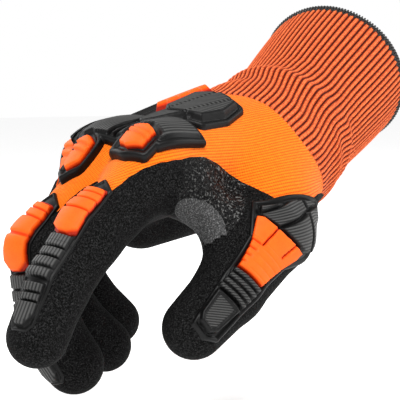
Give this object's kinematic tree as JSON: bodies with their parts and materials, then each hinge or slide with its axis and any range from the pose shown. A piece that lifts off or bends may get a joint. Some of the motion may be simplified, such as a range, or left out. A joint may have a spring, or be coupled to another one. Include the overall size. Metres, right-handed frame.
{
  "type": "work glove",
  "caption": "Knit work glove with dipped palm, rib cuff and moulded rubber guards over the knuckles, fingers and thumb, in a relaxed gripping pose.",
  "frame": {"origin": "centre of the cuff opening, where the hand goes in", "axes": "fingers toward -X, cuff toward +X, thumb toward -Y, back of the hand up toward +Z"},
  "size_m": [0.2543, 0.1389, 0.1689],
  "materials": {
    "orange_knit": "matte",
    "rib_knit": "matte",
    "overlock_thread": "matte",
    "sandy_nitrile": "matte",
    "palm_nitrile": "satin",
    "patch_nitrile": "satin",
    "black_rubber": "satin",
    "orange_rubber": "satin"
  },
  "bodies": {
    "cuff": {"rib_cuff": "rib_knit", "cuff_binding": "overlock_thread"},
    "hand": {"hand_liner": "orange_knit", "palm_coat": "palm_nitrile", "thumb_crotch_patch": "patch_nitrile", "knuckle_guard": "black_rubber", "knuckle_pads": "orange_rubber", "back_guard_index_side": "black_rubber", "back_guard_little_side": "black_rubber", "back_pad": "orange_rubber"},
    "index_base": {"index_base_liner": "orange_knit", "index_base_coat": "sandy_nitrile", "index_base_guard": "black_rubber", "index_base_pads": "orange_rubber"},
    "index_mid": {"index_mid_liner": "orange_knit", "index_mid_coat": "sandy_nitrile", "index_mid_guard": "black_rubber"},
    "index_tip": {"index_tip_liner": "orange_knit", "index_tip_coat": "sandy_nitrile", "index_tip_guard": "black_rubber"},
    "middle_base": {"middle_base_liner": "orange_knit", "middle_base_coat": "sandy_nitrile", "middle_base_guard": "black_rubber", "middle_base_pads": "orange_rubber"},
    "middle_mid": {"middle_mid_liner": "orange_knit", "middle_mid_coat": "sandy_nitrile", "middle_mid_guard": "black_rubber"},
    "middle_tip": {"middle_tip_liner": "orange_knit", "middle_tip_coat": "sandy_nitrile", "middle_tip_guard": "black_rubber"},
    "ring_base": {"ring_base_liner": "orange_knit", "ring_base_coat": "sandy_nitrile", "ring_base_guard": "black_rubber", "ring_base_pads": "orange_rubber"},
    "ring_mid": {"ring_mid_liner": "orange_knit", "ring_mid_coat": "sandy_nitrile", "ring_mid_guard": "black_rubber"},
    "ring_tip": {"ring_tip_liner": "orange_knit", "ring_tip_coat": "sandy_nitrile"},
    "little_base": {"little_base_liner": "orange_knit", "little_base_coat": "sandy_nitrile", "little_base_guard": "black_rubber", "little_base_pads": "orange_rubber"},
    "little_mid": {"little_mid_liner": "orange_knit", "little_mid_coat": "sandy_nitrile", "little_mid_guard": "black_rubber"},
    "little_tip": {"little_tip_liner": "orange_knit", "little_tip_coat": "sandy_nitrile"},
    "thumb_base": {"thumb_base_liner": "orange_knit", "thumb_base_coat": "sandy_nitrile"},
    "thumb_mid": {"thumb_mid_liner": "orange_knit", "thumb_mid_coat": "sandy_nitrile", "thumb_mid_guard": "black_rubber", "thumb_mid_pads": "orange_rubber"},
    "thumb_tip": {"thumb_tip_liner": "orange_knit", "thumb_tip_coat": "sandy_nitrile", "thumb_tip_guard": "black_rubber"}
  },
  "joints": [
    {"name": "wrist_bend", "type": "hinge", "parent": "cuff", "child": "hand", "pos_m": [-0.06362, -0.03219, -0.03163], "axis": [0.1953, -0.9738, 0.1164], "range_deg": [-20, 20]},
    {"name": "index_knuckle_bend", "type": "hinge", "parent": "hand", "child": "index_base", "pos_m": [-0.15534, -0.06604, -0.0395], "axis": [0.127, -0.9859, 0.1092], "range_deg": [-24, 15]},
    {"name": "index_middle_bend", "type": "hinge", "parent": "index_base", "child": "index_mid", "pos_m": [-0.19229, -0.07371, -0.06581], "axis": [0.127, -0.9859, 0.1092], "range_deg": [-11, 27]},
    {"name": "index_end_bend", "type": "hinge", "parent": "index_mid", "child": "index_tip", "pos_m": [-0.21058, -0.07821, -0.08515], "axis": [0.127, -0.9859, 0.1092], "range_deg": [-5.5, 13.5]},
    {"name": "middle_knuckle_bend", "type": "hinge", "parent": "hand", "child": "middle_base", "pos_m": [-0.16039, -0.04216, -0.03935], "axis": [-0.0632, -0.9942, 0.087], "range_deg": [-31, 14]},
    {"name": "middle_middle_bend", "type": "hinge", "parent": "middle_base", "child": "middle_mid", "pos_m": [-0.19769, -0.04283, -0.07413], "axis": [-0.0632, -0.9942, 0.087], "range_deg": [-41, 11]},
    {"name": "middle_end_bend", "type": "hinge", "parent": "middle_mid", "child": "middle_tip", "pos_m": [-0.19559, -0.04566, -0.10493], "axis": [-0.0632, -0.9942, 0.087], "range_deg": [-20.5, 5.5]},
    {"name": "ring_knuckle_bend", "type": "hinge", "parent": "hand", "child": "ring_base", "pos_m": [-0.15393, -0.01895, -0.0428], "axis": [-0.0978, -0.9918, 0.0826], "range_deg": [-41, 14]},
    {"name": "ring_middle_bend", "type": "hinge", "parent": "ring_base", "child": "ring_mid", "pos_m": [-0.18215, -0.0193, -0.08039], "axis": [-0.0978, -0.9918, 0.0826], "range_deg": [-45, 16]},
    {"name": "ring_end_bend", "type": "hinge", "parent": "ring_mid", "child": "ring_tip", "pos_m": [-0.17091, -0.02262, -0.10692], "axis": [-0.0978, -0.9918, 0.0826], "range_deg": [-15.75, 5.6]},
    {"name": "little_knuckle_bend", "type": "hinge", "parent": "hand", "child": "little_base", "pos_m": [-0.14216, 0.00327, -0.04855], "axis": [-0.1665, -0.9833, 0.0735], "range_deg": [-49, 11]},
    {"name": "little_middle_bend", "type": "hinge", "parent": "little_base", "child": "little_mid", "pos_m": [-0.15817, 0.00349, -0.08191], "axis": [-0.1665, -0.9833, 0.0735], "range_deg": [-40, 20]},
    {"name": "little_end_bend", "type": "hinge", "parent": "little_mid", "child": "little_tip", "pos_m": [-0.14936, 0.00051, -0.10185], "axis": [-0.1665, -0.9833, 0.0735], "range_deg": [-14, 7]},
    {"name": "thumb_swing", "type": "hinge", "parent": "hand", "child": "thumb_base", "pos_m": [-0.08251, -0.05304, -0.04204], "axis": [0.5284, 0.3407, -0.7776], "range_deg": [-12, 2]},
    {"name": "thumb_knuckle_bend", "type": "hinge", "parent": "thumb_base", "child": "thumb_mid", "pos_m": [-0.10572, -0.08113, -0.07012], "axis": [0.5284, 0.3407, -0.7776], "range_deg": [-15, 4]},
    {"name": "thumb_end_bend", "type": "hinge", "parent": "thumb_mid", "child": "thumb_tip", "pos_m": [-0.13218, -0.08695, -0.09066], "axis": [0.5284, 0.3407, -0.7776], "range_deg": [-6, 8]}
  ],
  "couplings": [
    {"joint": "index_end_bend", "follows": "index_middle_bend", "ratio": 0.5},
    {"joint": "middle_end_bend", "follows": "middle_middle_bend", "ratio": 0.5},
    {"joint": "ring_end_bend", "follows": "ring_middle_bend", "ratio": 0.35},
    {"joint": "little_end_bend", "follows": "little_middle_bend", "ratio": 0.35}
  ]
}
